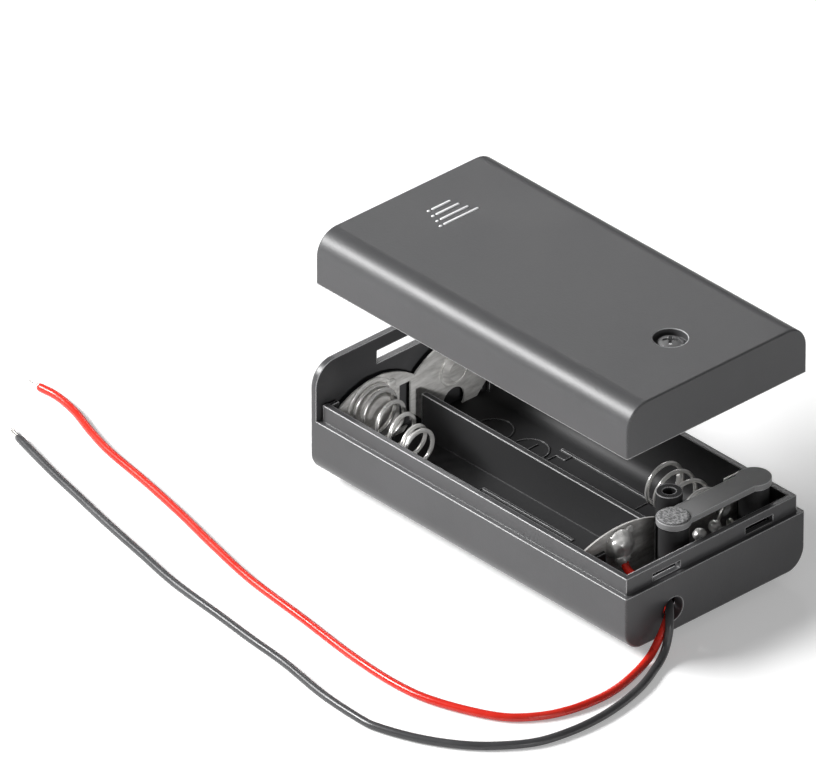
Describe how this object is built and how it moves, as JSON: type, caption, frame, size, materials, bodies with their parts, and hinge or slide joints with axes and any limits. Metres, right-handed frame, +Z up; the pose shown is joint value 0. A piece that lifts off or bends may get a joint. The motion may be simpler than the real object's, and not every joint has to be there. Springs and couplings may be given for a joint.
{
  "type": "cylindrical cell holder",
  "caption": "Enclosed holder for cylindrical cells with a screw-fastened cover, spring contacts, a slide switch underneath and stripped red and black leads.",
  "frame": {"origin": "below the middle of the tray's footprint, at the level of the switch slider's tip, which is the surface that the holder and its leads lie on", "axes": "+X along the case towards the end with the lead hole, +Y towards the side away from the lead hole (the switch's ON direction), +Z up out of the tray"},
  "size_m": [0.1298, 0.0776, 0.0451],
  "materials": {
    "tray_plastic": "fine satin moulded black",
    "cover_plastic": "fine satin moulded black",
    "screw_steel": "blackened steel",
    "switch_plastic": "plain moulded black",
    "slider_plastic": "smooth moulded black",
    "retainer_plastic": "plain moulded black",
    "terminal_metal": "tinned brass",
    "contact_sheet": "nickel-plated spring steel",
    "spring_wire": "nickel-plated spring wire",
    "solder": "dull solder",
    "tinned_wire": "tinned copper strands",
    "red_insulation": "glossy vinyl insulation",
    "black_insulation": "satin vinyl insulation"
  },
  "bodies": {
    "case": {"tray": "tray_plastic", "switch_housing": "switch_plastic", "switch_retainer": "retainer_plastic", "switch_terminal_1": "terminal_metal", "switch_terminal_2": "terminal_metal", "switch_terminal_3": "terminal_metal", "link_plate": "contact_sheet", "near_spring": "spring_wire", "far_spring": "spring_wire", "positive_plate": "contact_sheet", "negative_plate": "contact_sheet", "positive_solder": "solder", "negative_solder": "solder", "terminal_solder_1": "solder", "terminal_solder_2": "solder", "switch_link": "tinned_wire", "red_lead": "red_insulation", "black_lead": "black_insulation", "red_lead_inside": "red_insulation", "black_lead_inside": "black_insulation", "red_lead_tip": "tinned_wire", "black_lead_tip": "tinned_wire"},
    "lid": {"cover": "cover_plastic"},
    "screw": {"cover_screw": "screw_steel"},
    "slider": {"switch_slider": "slider_plastic"}
  },
  "joints": [
    {"name": "cover_lift", "type": "slide", "parent": "case", "child": "lid", "axis": [0, 0, 1], "range_m": [-0.0248, 0]},
    {"name": "screw_turn", "type": "hinge", "parent": "lid", "child": "screw", "pos_m": [0.0243, 0.0004, 0.04], "axis": [0, 0, 1], "continuous": true},
    {"name": "switch_slide", "type": "slide", "parent": "case", "child": "slider", "axis": [0, 1, 0], "range_m": [-0.0026, 0]}
  ]
}
